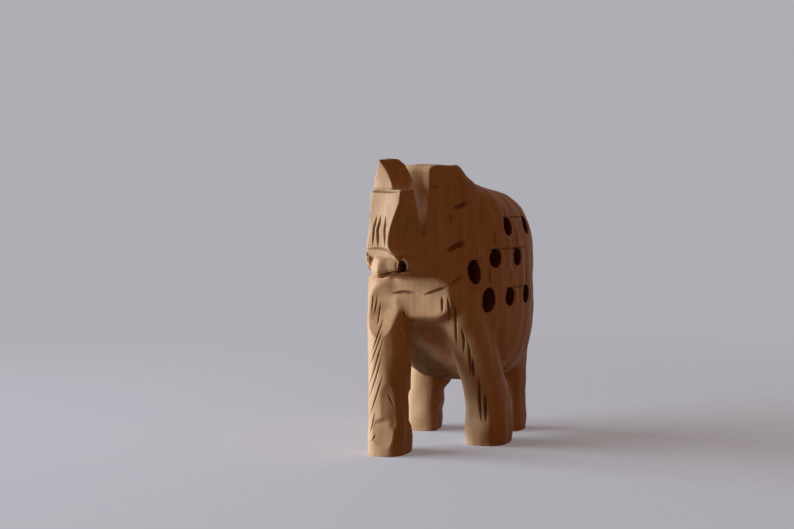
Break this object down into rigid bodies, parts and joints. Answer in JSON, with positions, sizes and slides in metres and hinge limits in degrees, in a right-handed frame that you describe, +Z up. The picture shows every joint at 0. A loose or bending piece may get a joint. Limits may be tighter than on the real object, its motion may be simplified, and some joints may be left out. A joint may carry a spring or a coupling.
{
  "type": "elephant carving",
  "caption": "Hand-carved wooden elephant ornament, walking with its trunk raised, with a pierced hollow body that holds a smaller elephant carved loose inside.",
  "frame": {"origin": "middle of the figure's outline from above, on the ground that its soles stand on", "axes": "+Z up; -Y is the way the body walks; +X is the figure's own left side"},
  "size_m": [0.036, 0.068, 0.0745],
  "materials": {
    "carved_wood": "satin",
    "inner_wood": "matte"
  },
  "bodies": {
    "mother": {"mother_elephant": "carved_wood"},
    "baby": {"baby_elephant": "inner_wood"}
  },
  "joints": [
    {"name": "baby_slide", "type": "slide", "parent": "mother", "child": "baby", "axis": [0, 1, 0], "range_m": [-0.0056, 0.0038]}
  ]
}
